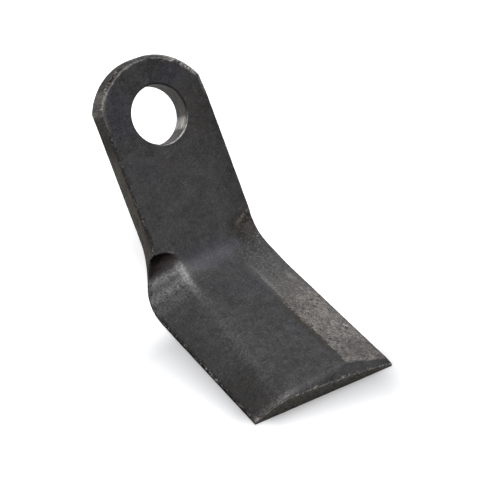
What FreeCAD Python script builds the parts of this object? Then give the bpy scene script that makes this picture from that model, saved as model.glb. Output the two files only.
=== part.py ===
import FreeCAD, Part
import math
import os
import Sketcher

# Every driving size in millimetres, and every angle in degrees.
# Heights up the shank are measured from the inner bend line, where the shank's front face
# would meet the leg's top face without the bend's radius.
SIZES = {
    "thickness": 8,
    "leg_end_thickness": 7,
    "shank_width": 40,
    "bore": 20.5,
    "bore_height": 52,
    "bore_break": 0.7,
    "crown_height": 20.5,
    "kink_height": 7.7,
    "head_roll": 1,
    "bend_angle": 51,
    "bend_inside": 9,
    "bend_outside": 13,
    "leg_length": 67,
    "left_step": 8.4,
    "right_step": 3.5,
    "left_shoulder_top": 14.5,
    "left_shoulder_foot": 13.5,
    "right_shoulder_top": 11,
    "right_shoulder_foot": 7,
    "left_edge": 1.1,
    "left_bevel_slope": 22,
    "left_bevel_taper": 2.8,
    "left_scoop_radius": 10,
    "left_scoop_reach": 5.2,
    "right_edge": 1.8,
    "right_bevel_slope": 20,
    "right_scoop_radius": 14,
    "right_scoop_reach": 6,
    "end_skew": 5.5,
    "end_roll_drop": 2,
    "end_roll_tilt": 6.8,
    "end_roll_slope": 48,
    "spare": 10,
}

doc = FreeCAD.newDocument("mulcher_blade")
sheet = doc.addObject("Spreadsheet::Sheet", "sizes")
for row, (alias, number) in enumerate(SIZES.items(), start=1):
    sheet.set("A%d" % row, alias)
    sheet.set("B%d" % row, str(number))
    sheet.setAlias("B%d" % row, alias)
doc.recompute()

body = doc.addObject("PartDesign::Body", "mulcher_blade")
body.Label = "mulcher_blade"


def size(alias):
    return float(sheet.get(alias))


def turn(angle):
    """Cosine, sine and tangent of half of an angle in degrees."""
    a = math.radians(angle)
    return math.cos(a), math.sin(a), math.tan(a / 2)


def point(x, y):
    return FreeCAD.Vector(x, y, 0)


def on_plane(kind, name, support, turned_about, **offset):
    """A sketch or datum plane on a plane, turned about one of its own axes and moved.

    The offset's values are expressions: x, y, z and angle.
    """
    item = body.newObject(kind, name)
    item.AttachmentSupport = [(support, "")]
    item.MapMode = "FlatFace"
    item.AttachmentOffset = FreeCAD.Placement(FreeCAD.Vector(), FreeCAD.Rotation(turned_about, 10))
    for axis in "xyz":
        if axis in offset:
            item.setExpression("AttachmentOffset.Base." + axis, offset[axis])
    item.setExpression("AttachmentOffset.Rotation.Angle", offset.get("angle", "0"))
    return item


def origin_plane(role):
    return [item for item in body.Origin.OriginFeatures if item.Role == role][0]


def add_line(sketch, start, end):
    return sketch.addGeometry(Part.LineSegment(point(*start), point(*end)), False)


def add_arc(sketch, centre, radius, first, last):
    circle = Part.Circle(point(*centre), FreeCAD.Vector(0, 0, 1), radius)
    return sketch.addGeometry(Part.ArcOfCircle(circle, math.radians(first), math.radians(last)), False)


def add_mark(sketch, x, y):
    return sketch.addGeometry(Part.Point(point(x, y)), True)


def tie(sketch, kind, *refs):
    return sketch.addConstraint(Sketcher.Constraint(kind, *refs))


def drive(sketch, expression, kind, *refs):
    """A dimension whose value follows an expression of the spreadsheet's cells."""
    index = tie(sketch, kind, *refs)
    sketch.setExpression("Constraints[%d]" % index, expression)


def add_polygon(sketch, corners):
    """Lines joined end to end through the corners, closed. Returns their numbers."""
    count = len(corners)
    lines = [add_line(sketch, corners[i], corners[(i + 1) % count]) for i in range(count)]
    for i in range(count):
        tie(sketch, "Coincident", lines[i], 2, lines[(i + 1) % count], 1)
    return lines


def cut(name, sketch, length="20 * sizes.spare"):
    """A pocket that reaches as far to both sides of its sketch."""
    doc.recompute()
    before = body.Tip.Shape.Volume
    pocket = body.newObject("PartDesign::Pocket", name)
    pocket.Profile = sketch
    pocket.Type = "Length"
    pocket.SideType = "Symmetric"
    pocket.setExpression("Length", length)
    body.Tip = pocket
    doc.recompute()
    print(name, round(before), round(pocket.Shape.Volume))
    if not pocket.Shape.Volume < before - 1:
        raise ValueError(name + " cuts nothing")
    return pocket


def side_profile():
    """The strip seen from the side, with the shank bent up from the leg."""
    sketch = on_plane("Sketcher::SketchObject", "side_profile", origin_plane("YZ_Plane"), FreeCAD.Vector(0, 0, 1))
    t = size("thickness")
    c, s, half = turn(size("bend_angle"))
    inner = size("bend_inside") * half
    outer = size("bend_outside") * half
    corner = t * half
    reach = size("leg_length") + size("spare")
    rise = size("bore_height") + size("crown_height") + size("spare")
    bottom = add_line(sketch, (-reach, 0), (corner - outer, 0))
    outside = add_arc(sketch, (corner - outer, size("bend_outside")), size("bend_outside"), -90, size("bend_angle") - 90)
    back = add_line(sketch, (corner + outer * c, outer * s), (rise * c + t * s, rise * s))
    top = add_line(sketch, (rise * c + t * s, rise * s), (rise * c, t + rise * s))
    front = add_line(sketch, (inner * c, t + inner * s), (rise * c, t + rise * s))
    inside = add_arc(sketch, (-inner, t + size("bend_inside")), size("bend_inside"), -90, size("bend_angle") - 90)
    thin = size("leg_end_thickness")
    leg = add_line(sketch, (-inner, t), (-reach, thin))
    end = add_line(sketch, (-reach, thin), (-reach, 0))
    tie(sketch, "Tangent", bottom, 2, outside, 1)
    tie(sketch, "Tangent", outside, 2, back, 1)
    tie(sketch, "Coincident", back, 2, top, 1)
    tie(sketch, "Coincident", top, 2, front, 2)
    tie(sketch, "Tangent", front, 1, inside, 2)
    tie(sketch, "Tangent", inside, 1, leg, 1)
    tie(sketch, "Coincident", leg, 2, end, 1)
    tie(sketch, "Coincident", end, 2, bottom, 1)
    tie(sketch, "Horizontal", bottom)
    tie(sketch, "Vertical", end)
    tie(sketch, "Parallel", front, back)
    tie(sketch, "Perpendicular", top, front)
    tie(sketch, "PointOnObject", bottom, 1, -1)
    bend = add_mark(sketch, 0, t)
    tie(sketch, "PointOnObject", bend, 1, -2)
    tie(sketch, "PointOnObject", bend, 1, leg)
    tie(sketch, "PointOnObject", bend, 1, front)
    drive(sketch, "sizes.thickness", "DistanceY", -1, 1, bend, 1, t)
    drive(sketch, "sizes.thickness", "Distance", top, t)
    drive(sketch, "sizes.bend_angle * 1deg", "Angle", front, math.radians(size("bend_angle")))
    drive(sketch, "sizes.bend_outside", "Radius", outside, size("bend_outside"))
    drive(sketch, "sizes.bend_inside", "Radius", inside, size("bend_inside"))
    drive(sketch, "sizes.leg_length + sizes.spare", "DistanceX", end, 1, -1, 1, reach)
    tip = add_mark(sketch, -size("leg_length"), thin)
    tie(sketch, "PointOnObject", tip, 1, leg)
    drive(sketch, "sizes.leg_length", "DistanceX", tip, 1, -1, 1, size("leg_length"))
    drive(sketch, "sizes.leg_end_thickness", "DistanceY", -1, 1, tip, 1, thin)
    drive(sketch, "sizes.bore_height + sizes.crown_height + sizes.spare", "Distance", bend, 1, top, rise)
    return sketch


def shoulder(sketch, side, straight, leg):
    """Two equal arcs that lead from the shank's side out to the leg's side, top arc first."""
    sign = -1 if side == "left" else 1
    edge = sign * size("shank_width") / 2
    step = size(side + "_step")
    top, foot = size(side + "_shoulder_top"), -size(side + "_shoulder_foot")
    run = top - foot
    radius = (run**2 + step**2) / (4 * step)
    sweep = math.degrees(math.asin(run / 2 / radius))
    if side == "left":
        hollow = add_arc(sketch, (edge - radius, top), radius, -sweep, 0)
        round_out = add_arc(sketch, (edge - step + radius, foot), radius, 180 - sweep, 180)
        upper, lower = (hollow, 2), (hollow, 1)
        start, finish = (round_out, 1), (round_out, 2)
    else:
        hollow = add_arc(sketch, (edge + radius, top), radius, 180, 180 + sweep)
        round_out = add_arc(sketch, (edge + step - radius, foot), radius, 0, sweep)
        upper, lower = (hollow, 1), (hollow, 2)
        start, finish = (round_out, 2), (round_out, 1)
    tie(sketch, "Tangent", straight[0], straight[1], *upper)
    tie(sketch, "Tangent", *lower, *start)
    tie(sketch, "Tangent", *finish, leg[0], leg[1])
    tie(sketch, "Equal", hollow, round_out)
    drive(sketch, "sizes.%s_shoulder_top" % side, "DistanceY", -1, 1, *upper, top)
    drive(sketch, "sizes.%s_shoulder_foot" % side, "DistanceY", *finish, -1, 1, -foot)


def outline():
    """What lies outside the blade's outline, seen square to the shank's front face."""
    sketch = on_plane("Sketcher::SketchObject", "outline", origin_plane("XY_Plane"), FreeCAD.Vector(1, 0, 0),
                      z="sizes.thickness", angle="sizes.bend_angle")
    half = size("shank_width") / 2
    left, right = -half - size("left_step"), half + size("right_step")
    spare = size("spare")
    kink = size("bore_height") + size("kink_height")
    crown = size("bore_height") + size("crown_height")
    bottom = -size("leg_length") - 2 * spare
    wide = max(-left, right) + 3 * spare
    frame = add_polygon(sketch, [(-wide, bottom - spare), (wide, bottom - spare),
                                 (wide, crown + 2 * spare), (-wide, crown + 2 * spare)])
    for i, kind in enumerate(("Horizontal", "Vertical") * 2):
        tie(sketch, kind, frame[i])
    across = "sizes.shank_width / 2 + max(sizes.left_step; sizes.right_step) + 3 * sizes.spare"
    drive(sketch, across, "DistanceX", frame[0], 1, -1, 1, wide)
    drive(sketch, across, "DistanceX", -1, 1, frame[0], 2, wide)
    drive(sketch, "sizes.leg_length + 3 * sizes.spare", "DistanceY", frame[0], 1, -1, 1, spare - bottom)
    drive(sketch, "sizes.bore_height + sizes.crown_height + 2 * sizes.spare", "DistanceY",
          -1, 1, frame[2], 1, crown + 2 * spare)

    rise = crown - kink
    radius = (half**2 + rise**2) / (2 * rise)
    centre = crown - radius
    low = math.degrees(math.atan2(kink - centre, half))
    head = add_arc(sketch, (0, centre), radius, low, 180 - low)
    left_side = add_line(sketch, (-half, kink), (-half, size("left_shoulder_top")))
    left_leg = add_line(sketch, (left, -size("left_shoulder_foot")), (left, bottom))
    base = add_line(sketch, (left, bottom), (right, bottom))
    right_leg = add_line(sketch, (right, bottom), (right, -size("right_shoulder_foot")))
    right_side = add_line(sketch, (half, size("right_shoulder_top")), (half, kink))
    tie(sketch, "Coincident", head, 2, left_side, 1)
    tie(sketch, "Coincident", left_leg, 2, base, 1)
    tie(sketch, "Coincident", base, 2, right_leg, 1)
    tie(sketch, "Coincident", right_side, 2, head, 1)
    for line in (left_side, left_leg, right_leg, right_side):
        tie(sketch, "Vertical", line)
    tie(sketch, "Horizontal", base)
    shoulder(sketch, "left", (left_side, 2), (left_leg, 1))
    shoulder(sketch, "right", (right_side, 1), (right_leg, 2))
    drive(sketch, "sizes.shank_width / 2", "DistanceX", left_side, 1, -1, 1, half)
    drive(sketch, "sizes.shank_width / 2", "DistanceX", -1, 1, right_side, 2, half)
    drive(sketch, "sizes.left_step", "DistanceX", left_leg, 1, left_side, 1, size("left_step"))
    drive(sketch, "sizes.right_step", "DistanceX", right_side, 2, right_leg, 1, size("right_step"))
    drive(sketch, "sizes.leg_length + 2 * sizes.spare", "DistanceY", base, 1, -1, 1, -bottom)
    top = add_mark(sketch, 0, crown)
    tie(sketch, "PointOnObject", top, 1, -2)
    tie(sketch, "PointOnObject", top, 1, head)
    drive(sketch, "sizes.bore_height + sizes.crown_height", "DistanceY", -1, 1, top, 1, crown)
    for line, end in ((left_side, 1), (right_side, 2)):
        drive(sketch, "sizes.bore_height + sizes.kink_height", "DistanceY", -1, 1, line, end, kink)
    return sketch


def bore():
    """The mounting hole's circle, on the shank's front face."""
    sketch = on_plane("Sketcher::SketchObject", "bore_circle", origin_plane("XY_Plane"), FreeCAD.Vector(1, 0, 0),
                      z="sizes.thickness", angle="sizes.bend_angle")
    circle = sketch.addGeometry(Part.Circle(point(0, size("bore_height")), FreeCAD.Vector(0, 0, 1), size("bore") / 2))
    tie(sketch, "PointOnObject", circle, 3, -2)
    drive(sketch, "sizes.bore_height", "DistanceY", -1, 1, circle, 3, size("bore_height"))
    drive(sketch, "sizes.bore / 2", "Radius", circle, size("bore") / 2)
    return sketch


def end_line():
    """What lies beyond the leg's end, which isn't quite square to the leg."""
    sketch = on_plane("Sketcher::SketchObject", "end_line", origin_plane("XY_Plane"), FreeCAD.Vector(0, 0, 1))
    wide = size("shank_width") / 2 + max(size("left_step"), size("right_step")) + 2 * size("spare")
    slope = math.tan(math.radians(size("end_skew")))
    reach = size("leg_length")
    far = -reach - 3 * size("spare")
    skewed, right, base, left = add_polygon(sketch, [(-wide, -reach + wide * slope), (wide, -reach - wide * slope),
                                                     (wide, far), (-wide, far)])
    tie(sketch, "Vertical", right)
    tie(sketch, "Horizontal", base)
    tie(sketch, "Vertical", left)
    middle = add_mark(sketch, 0, -reach)
    tie(sketch, "PointOnObject", middle, 1, -2)
    tie(sketch, "PointOnObject", middle, 1, skewed)
    across = "sizes.shank_width / 2 + max(sizes.left_step; sizes.right_step) + 2 * sizes.spare"
    drive(sketch, "sizes.leg_length", "DistanceY", middle, 1, -1, 1, reach)
    drive(sketch, "-sizes.end_skew * 1deg", "Angle", skewed, -math.radians(size("end_skew")))
    drive(sketch, across, "DistanceX", left, 1, -1, 1, wide)
    drive(sketch, across, "DistanceX", -1, 1, right, 1, wide)
    drive(sketch, "sizes.leg_length + 3 * sizes.spare", "DistanceY", base, 1, -1, 1, -far)
    return sketch


def bevel(side):
    """One bevel along the leg's top, down to a thin edge, which runs out at the bend in a scoop.

    Its sketch stands square to the bevel at the leg's side, with height above the bevel
    to its left and the way up the leg to its top.
    """
    sign = -1 if side == "left" else 1
    yaw = "360 - sizes.left_bevel_taper" if side == "left" else "0"
    base = on_plane("PartDesign::Plane", side + "_bevel_edge", origin_plane("XY_Plane"), FreeCAD.Vector(0, 0, 1),
                    x="%d * (sizes.shank_width / 2 + sizes.%s_step)" % (sign, side),
                    z="sizes.%s_edge" % side, angle=yaw)
    sketch = on_plane("Sketcher::SketchObject", side + "_bevel_profile", base, FreeCAD.Vector(0, 1, 0),
                      angle="90 + %d * sizes.%s_bevel_slope" % (sign, side))
    radius, wall = size(side + "_scoop_radius"), size(side + "_scoop_reach")
    high, far = 6 * size("spare"), -size("leg_length") - 3 * size("spare")
    floor = add_line(sketch, (0, far), (0, wall - radius))
    scoop = add_arc(sketch, (-radius, wall - radius), radius, 0, 90)
    rise = add_line(sketch, (-radius, wall), (-high, wall))
    lid = add_line(sketch, (-high, wall), (-high, far))
    end = add_line(sketch, (-high, far), (0, far))
    tie(sketch, "Tangent", floor, 2, scoop, 1)
    tie(sketch, "Tangent", scoop, 2, rise, 1)
    for first, second in ((rise, lid), (lid, end), (end, floor)):
        tie(sketch, "Coincident", first, 2, second, 1)
    tie(sketch, "Horizontal", rise)
    tie(sketch, "Vertical", lid)
    tie(sketch, "Horizontal", end)
    tie(sketch, "PointOnObject", floor, 1, -2)
    tie(sketch, "Vertical", floor)
    drive(sketch, "sizes.%s_scoop_radius" % side, "Radius", scoop, radius)
    drive(sketch, "sizes.%s_scoop_reach" % side, "DistanceY", -1, 1, rise, 1, wall)
    drive(sketch, "6 * sizes.spare", "DistanceX", lid, 1, -1, 1, high)
    drive(sketch, "sizes.leg_length + 3 * sizes.spare", "DistanceY", floor, 1, -1, 1, -far)
    doc.recompute()
    across = "2 * (sizes.thickness - sizes.%s_edge) / sin(sizes.%s_bevel_slope * 1deg) + sizes.spare"
    cut(side + "_bevel", sketch, across % (side, side))


def end_roll():
    """The slanting roll along the end's top edge, deepest at the right."""
    base = on_plane("PartDesign::Plane", "end_roll_edge", origin_plane("XY_Plane"), FreeCAD.Vector(0, 0, 1),
                    y="-sizes.leg_length", z="sizes.leg_end_thickness - sizes.end_roll_drop", angle="360 - sizes.end_skew")
    sketch = on_plane("Sketcher::SketchObject", "end_roll_profile", base, FreeCAD.Vector(0, 1, 0),
                      angle="90 + sizes.end_roll_tilt")
    steep = math.tan(math.radians(size("end_roll_slope")))
    high, front = 2 * size("spare"), -size("spare")
    sill, slant, lid, face = add_polygon(sketch, [(0, front), (0, 0), (-high, high / steep), (-high, front)])
    tie(sketch, "PointOnObject", sill, 1, -2)
    tie(sketch, "Coincident", sill, 2, -1, 1)
    tie(sketch, "Vertical", lid)
    tie(sketch, "Horizontal", face)
    drive(sketch, "sizes.spare", "DistanceY", sill, 1, -1, 1, -front)
    drive(sketch, "2 * sizes.spare", "DistanceX", lid, 1, -1, 1, high)
    drive(sketch, "(180 - sizes.end_roll_slope) * 1deg", "Angle", slant, math.radians(180) - math.atan2(high / steep, high))
    doc.recompute()
    cut("end_roll", sketch)


def head_roll():
    """The roll of the head's front edge: a slanting cut swung about the head arc's centre.

    It runs out over the shank's sides, a little below the kinks.
    """
    sketch = on_plane("Sketcher::SketchObject", "head_roll_profile", origin_plane("YZ_Plane"), FreeCAD.Vector(0, 0, 1),
                      y="sizes.thickness", angle="sizes.bend_angle")
    crown = size("bore_height") + size("crown_height")
    rise, half = size("crown_height") - size("kink_height"), size("shank_width") / 2
    centre = crown - (half**2 + rise**2) / (2 * rise)
    clear = size("spare") / 5
    far, back = crown + clear, -size("head_roll") - clear
    slant, outer, front = add_polygon(sketch, [(far + back - clear, clear), (far, back), (far, clear)])
    axis = sketch.addGeometry(Part.LineSegment(point(centre, 0), point(centre, -size("thickness"))), True)
    tie(sketch, "Vertical", outer)
    tie(sketch, "Horizontal", front)
    tie(sketch, "Equal", outer, front)
    tie(sketch, "Vertical", axis)
    tie(sketch, "PointOnObject", axis, 1, -1)
    drive(sketch, "sizes.bore_height + sizes.crown_height + sizes.spare / 5", "DistanceX", -1, 1, outer, 2, far)
    drive(sketch, "sizes.spare / 5", "DistanceY", -1, 1, outer, 2, clear)
    drive(sketch, "sizes.head_roll + 2 * sizes.spare / 5", "DistanceY", outer, 1, outer, 2, clear - back)
    drive(sketch, "sizes.thickness", "DistanceY", axis, 2, axis, 1, size("thickness"))
    drive(sketch, "sizes.bore_height + sizes.crown_height - ((sizes.shank_width / 2)^2"
          " + (sizes.crown_height - sizes.kink_height)^2) / (2 * (sizes.crown_height - sizes.kink_height))",
          "DistanceX", -1, 1, axis, 1, centre)
    doc.recompute()
    before = body.Tip.Shape.Volume
    groove = body.newObject("PartDesign::Groove", "head_roll")
    groove.Profile = sketch
    groove.ReferenceAxis = (sketch, ["Axis0"])
    groove.Angle = 180
    groove.Midplane = True
    body.Tip = groove
    doc.recompute()
    print("head_roll", round(before), round(groove.Shape.Volume))
    if not groove.Shape.Volume < before - 1:
        raise ValueError("the head's roll cuts nothing")


def round_edges(shape, radius):
    """Names of the circular edges of one radius."""
    return ["Edge%d" % number for number, edge in enumerate(shape.Edges, start=1)
            if isinstance(edge.Curve, Part.Circle) and abs(edge.Curve.Radius - radius) < 1e-4]


def chamfer(name, edges, expression):
    carrier = body.Tip
    item = body.newObject("PartDesign::Chamfer", name)
    item.Base = (carrier, edges)
    item.setExpression("Size", expression)
    body.Tip = item
    doc.recompute()


# The blade's origin lies in the middle of the leg's flat underside.
body.setExpression("Placement.Base.y", "sizes.leg_length / 2")

strip = side_profile()
doc.recompute()
pad = body.newObject("PartDesign::Pad", "strip")
pad.Profile = strip
pad.SideType = "Symmetric"
pad.setExpression("Length", "2 * (sizes.shank_width / 2 + max(sizes.left_step; sizes.right_step) + sizes.spare)")
body.Tip = pad
doc.recompute()

cut("trimmed_sides", outline())
cut("trimmed_end", end_line())
bevel("left")
bevel("right")
end_roll()
head_roll()
cut("mounting_bore", bore())
chamfer("bore_rims", round_edges(body.Tip.Shape, size("bore") / 2), "sizes.bore_break")

for item in doc.Objects:
    if "Invalid" in item.State or "Error" in item.State:
        raise ValueError(item.Name + " failed: " + str(item.State))
blade = body.Tip.Shape
if not blade.isValid() or len(blade.Solids) != 1:
    raise ValueError("the blade isn't one valid solid")
print("volume %.1f mm3, box %s" % (blade.Volume, blade.BoundBox))

os.makedirs("parts", exist_ok=True)
body.Shape.exportStep("parts/mulcher_blade.step")
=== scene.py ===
import math

import bpy
import numpy as np
from mathutils import Matrix, Vector
from mathutils.geometry import delaunay_2d_cdt


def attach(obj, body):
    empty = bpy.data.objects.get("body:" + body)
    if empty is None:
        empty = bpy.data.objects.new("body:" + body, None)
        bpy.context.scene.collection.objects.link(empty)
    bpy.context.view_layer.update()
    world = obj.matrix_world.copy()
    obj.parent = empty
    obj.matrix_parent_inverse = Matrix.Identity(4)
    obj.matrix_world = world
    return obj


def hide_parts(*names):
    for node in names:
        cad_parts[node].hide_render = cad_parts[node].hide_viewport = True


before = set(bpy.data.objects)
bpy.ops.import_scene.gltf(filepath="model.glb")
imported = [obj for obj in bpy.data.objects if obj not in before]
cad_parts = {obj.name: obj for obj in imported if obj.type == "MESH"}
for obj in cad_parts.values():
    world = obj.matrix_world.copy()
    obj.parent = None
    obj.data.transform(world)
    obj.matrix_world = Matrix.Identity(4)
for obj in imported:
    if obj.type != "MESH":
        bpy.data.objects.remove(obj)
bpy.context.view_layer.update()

mm = 0.001


# Node trees: one class wraps a socket, so that sums on values add their Math nodes.

class Wire:
    def __init__(self, bench, socket):
        self.bench = bench
        self.socket = socket

    def math(self, operation, *others):
        values = dict(enumerate((self,) + others))
        return self.bench.add("ShaderNodeMath", {"operation": operation}, values)

    def flipped(self, operation, first):
        return self.bench.add("ShaderNodeMath", {"operation": operation}, {0: first, 1: self})

    def __add__(self, other): return self.math("ADD", other)
    def __radd__(self, other): return self.math("ADD", other)
    def __sub__(self, other): return self.math("SUBTRACT", other)
    def __rsub__(self, other): return self.flipped("SUBTRACT", other)
    def __mul__(self, other): return self.math("MULTIPLY", other)
    def __rmul__(self, other): return self.math("MULTIPLY", other)
    def __truediv__(self, other): return self.math("DIVIDE", other)
    def __rtruediv__(self, other): return self.flipped("DIVIDE", other)
    def __neg__(self): return self.math("MULTIPLY", -1.0)
    def __abs__(self): return self.math("ABSOLUTE")

    def least(self, other): return self.math("MINIMUM", other)
    def most(self, other): return self.math("MAXIMUM", other)
    def within(self, low, high): return self.most(low).least(high)
    def blendLeast(self, other, width): return self.math("SMOOTH_MIN", other, width)
    def root(self): return self.math("SQRT")
    def sine(self): return self.math("SINE")
    def cosine(self): return self.math("COSINE")
    def tangent(self): return self.math("TANGENT")

    # 0 below the first value and 1 above the second, with a smooth rise
    def rise(self, low, high):
        return self.bench.add("ShaderNodeMapRange", {"interpolation_type": "SMOOTHSTEP"},
                              {"Value": self, "From Min": low, "From Max": high})

    # 1 below the first value and 0 above the second
    def fall(self, low, high):
        return 1.0 - self.rise(low, high)


class Bench:
    def __init__(self, tree):
        self.tree = tree
        self.tree.nodes.clear()

    # a node of any kind: its settings come first, then the values or links of its sockets
    def add(self, kind, settings=None, values=None, out=0):
        node = self.tree.nodes.new(kind)
        for name, value in (settings or {}).items():
            setattr(node, name, value)
        for key, value in (values or {}).items():
            if isinstance(value, Wire):
                self.tree.links.new(value.socket, node.inputs[key])
            else:
                node.inputs[key].default_value = value
        return Wire(self, node.outputs[out]) if len(node.outputs) else node

    # all the outputs of a node, by their names
    def outputs(self, kind, values=None):
        node = self.add(kind, {}, values).socket.node
        return {socket.name: Wire(self, socket) for socket in node.outputs}

    def split(self, vector):
        return list(self.outputs("ShaderNodeSeparateXYZ", {0: vector}).values())

    def join(self, x, y, z):
        return self.add("ShaderNodeCombineXYZ", {}, {0: x, 1: y, 2: z})

    def vector(self, operation, *parts, out=0):
        return self.add("ShaderNodeVectorMath", {"operation": operation}, dict(enumerate(parts)), out)

    def scaled(self, vector, factor):
        return self.add("ShaderNodeVectorMath", {"operation": "SCALE"}, {"Vector": vector, "Scale": factor})

    def noise(self, place, scale, detail=2.0, roughness=0.5):
        return self.add("ShaderNodeTexNoise", {"noise_dimensions": "3D"},
                        {"Vector": place, "Scale": scale, "Detail": detail, "Roughness": roughness}, "Fac")

    def mixColour(self, factor, first, second):
        return self.add("ShaderNodeMix", {"data_type": "RGBA"}, {0: factor, 6: first, 7: second}, 2)


def newMaterial(name):
    material = bpy.data.materials.new(name)
    material.use_nodes = True
    return material, Bench(material.node_tree)


def putInScene(name, data):
    item = bpy.data.objects.new(name, data)
    bpy.context.scene.collection.objects.link(item)
    return item


# The blade. It starts as a flat plate whose outline is drawn here, in millimetres.
# x runs across the plate, and q along it: 0 at the bend line, up the shank, down the leg.

plate = {
    "thickness": 8.0,
    "shankHalf": 20.0,
    "boreRadius": 10.25,
    "boreHeight": 52.0,
    "crownHeight": 72.5,
    "kinkHeight": 59.7,          # where the head's arc meets the straight sides
    "legLength": 67.0,
    "endSkew": 5.5,              # degrees
    "leftStep": 8.4,             # how far the leg stands out past the shank
    "rightStep": 3.5,
    "leftShoulder": (14.5, -13.0),    # top and foot
    "rightShoulder": (11.0, -9.0),
    "shoulderLean": 0.97,        # the gap to a leaning side over the gap straight across
    "edgePitch": 0.36,
    "sideSamples": 900,
    "headSamples": 400,
    "wallRows": 7,
    "gridBox": (-30, 26, -72, 74),
    "widestGap": 9,
}

# the points of each side: rows along the outline, rings round the bore, and a grid between them
frontNet = {
    "rows": (0.14, 0.32, 0.56, 0.86, 1.2, 1.56),
    "rowsClear": 0.1,
    "rings": (0.12, 0.3, 0.5, 0.68, 0.84, 1.1),
    "pitch": 0.44,
    "clear": 1.85,
    "scoopBoxes": ((-29, -9, -2, 11), (8, 25, 2, 13)),
    "scoopPitch": 0.26,
}
backNet = {
    "rows": (0.2, 0.6),
    "rowsClear": 0.15,
    "rings": (0.3, 0.7),
    "pitch": 1.0,
    "clear": 1.2,
    "scoopBoxes": (),
}

# what the hammer and the press do to it: the inputs of its Geometry Nodes tree
forging = {
    "Thickness": plate["thickness"],
    "Leg end thickness": 7.0,
    "Thinning start": 6.0,
    "Leg length": plate["legLength"],
    "Bend angle": math.radians(51.0),
    "Bend reach": 16.0,
    "Inside radius": 12.0,
    "Easing": 0.55,
    "Outside radius": 13.0,
    "Left edge x": -plate["shankHalf"] - plate["leftStep"],
    "Left bevel line": -12.2,
    "Left bevel drift": 0.078,
    "Left edge thickness": 1.1,
    "Left shoulder top": plate["leftShoulder"][0],
    "Left shoulder foot": plate["leftShoulder"][1],
    "Left step": plate["leftStep"],
    "Left scoop start": 2.8,
    "Left scoop radius": 5.4,
    "Right edge x": plate["shankHalf"] + plate["rightStep"],
    "Right edge thickness": 1.8,
    "Right bevel fall": 0.345,
    "Right ramp start": -16.0,
    "Right ramp length": 22.0,
    "Right ramp height": 4.0,
    "Right scoop start": 6.0,
    "Right scoop radius": 4.2,
    "Scoop wall": 6.0,
    "Crease width": 0.5,
    "Soft crease width": 2.6,
    "Left crease width": 1.6,
    "Left soft crease width": 3.6,
    "End roll crease width": 0.8,
    "End roll corner x": -7.5,
    "End roll height": 5.75,
    "End roll fall": 0.1,
    "End roll rise": 0.9,
    "End roll bow start": 6.0,
    "End roll bow length": 18.0,
    "End roll bow": 0.004,
    "End roll bow rise": 0.036,
    "Edge round": 0.35,
    "Head roll": 1.6,
    "Bore chamfer": 0.5,
    "Back bore chamfer": 0.1,
    "Unevenness": 0.1,
    "Edge roughness": 0.16,
}

headRise = plate["crownHeight"] - plate["kinkHeight"]
headRadius = (plate["shankHalf"] ** 2 + headRise ** 2) / (2 * headRise)
headCentre = plate["crownHeight"] - headRadius
endSlope = math.tan(math.radians(plate["endSkew"]))
headLean = 0.2    # the head's roll sets in lower at the right


# how far the outline has moved out between the shoulder's top and foot, from 0 to 1
def shoulderShare(q, shoulder):
    top, foot = shoulder
    u = np.clip((top - q) / (top - foot), 0, 1)
    return np.where(u < 0.5, 2 * u * u, 1 - 2 * (1 - u) ** 2)


def leftSide(q):
    return -plate["shankHalf"] - plate["leftStep"] * shoulderShare(q, plate["leftShoulder"])


def rightSide(q):
    return plate["shankHalf"] + plate["rightStep"] * shoulderShare(q, plate["rightShoulder"])


def endLine(x):
    return -plate["legLength"] - x * endSlope


# distance from the plate's edge: positive inside
def edgeGap(x, q):
    head = np.where(q > headCentre, headRadius - np.hypot(x, q - headCentre), np.inf)
    sides = np.minimum(x - leftSide(q), rightSide(q) - x) * plate["shoulderLean"]
    end = (q - endLine(x)) * math.cos(math.radians(plate["endSkew"]))
    return np.minimum(np.minimum(head, sides), end)


def boreGap(x, q):
    return np.hypot(x, q - plate["boreHeight"]) - plate["boreRadius"]


# points at an even pitch along a line
def walk(x, q, pitch):
    along = np.concatenate([[0], np.cumsum(np.hypot(np.diff(x), np.diff(q)))])
    places = np.linspace(0, along[-1], max(int(round(along[-1] / pitch)), 1) + 1)
    return np.stack([np.interp(places, along, x), np.interp(places, along, q)], 1)


# the plate's outline, round from the end's left corner, each stretch without its last point
def drawOutline():
    farLeft, farRight = forging["Left edge x"], forging["Right edge x"]
    kink, low = plate["kinkHeight"], math.atan2(plate["kinkHeight"] - headCentre, plate["shankHalf"])
    a = np.linspace(low, math.pi - low, plate["headSamples"])
    up = np.linspace(endLine(farRight), kink, plate["sideSamples"])
    down = np.linspace(kink, endLine(farLeft), plate["sideSamples"])
    corners = np.array([farLeft, farRight])
    stretches = [(corners, endLine(corners)),
                 (rightSide(up), up),
                 (headRadius * np.cos(a), headCentre + headRadius * np.sin(a)),
                 (leftSide(down), down)]
    return np.concatenate([walk(x, q, plate["edgePitch"])[:-1] for x, q in stretches])


def ringPoints(gap):
    radius = plate["boreRadius"] + gap
    count = int(2 * math.pi * radius / plate["edgePitch"])
    a = np.arange(count) * 2 * math.pi / count
    return np.stack([radius * np.cos(a), plate["boreHeight"] + radius * np.sin(a)], 1)


# rows of points that follow the outline inwards, so that rolled edges stay even
def followingRows(outline, gaps, clear):
    ahead = np.roll(outline, -1, 0) - np.roll(outline, 1, 0)
    inward = np.stack([-ahead[:, 1], ahead[:, 0]], 1) / np.hypot(*ahead.T)[:, None]
    rows = np.concatenate([outline + inward * gap for gap in gaps])
    return rows[edgeGap(*rows.T) > clear]


# points in a staggered grid over a box
def staggered(x0, x1, q0, q1, pitch):
    rows = np.arange(q0, q1, pitch * 0.866)    # the height of an even triangle
    x, q = np.meshgrid(np.arange(x0, x1, pitch), rows)
    x = x + (np.arange(len(rows)) % 2)[:, None] * pitch / 2
    return np.stack([x.ravel(), q.ravel()], 1)


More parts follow.
